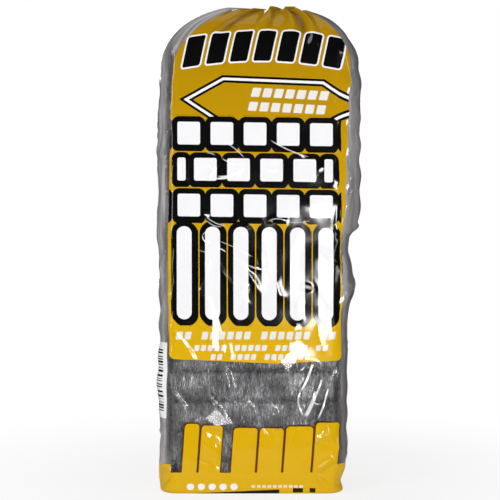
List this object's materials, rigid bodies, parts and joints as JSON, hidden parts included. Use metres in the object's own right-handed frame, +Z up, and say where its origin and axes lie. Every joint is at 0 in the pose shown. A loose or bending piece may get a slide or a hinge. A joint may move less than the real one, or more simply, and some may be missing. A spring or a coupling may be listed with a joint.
{
  "type": "pack of steel wool pads",
  "caption": "Upright clear film sleeve, printed in flat colour fields and gathered in pleats at its top, holding a column of rolled steel wool hand pads.",
  "frame": {"origin": "middle of the folded base, on the surface that the pack stands on", "axes": "+Z up the column of pads, X along a pad, front face towards -Y"},
  "size_m": [0.1162, 0.0762, 0.2854],
  "materials": {
    "printed_film": "clear glossy crinkled polyethylene film, printed with golden yellow, black and white fields, clear along both sides and at a window low on the front",
    "steel_wool": "dark grey matted steel fibre, faintly glinting, with the grain running along each pad"
  },
  "bodies": {
    "root": {"film_sleeve": "printed_film", "pad_01": "steel_wool", "pad_02": "steel_wool", "pad_03": "steel_wool", "pad_04": "steel_wool", "pad_05": "steel_wool", "pad_06": "steel_wool", "pad_07": "steel_wool", "pad_08": "steel_wool", "pad_09": "steel_wool", "pad_10": "steel_wool", "pad_11": "steel_wool", "pad_12": "steel_wool", "pad_13": "steel_wool", "pad_14": "steel_wool", "pad_15": "steel_wool", "pad_16": "steel_wool"}
  },
  "joints": []
}
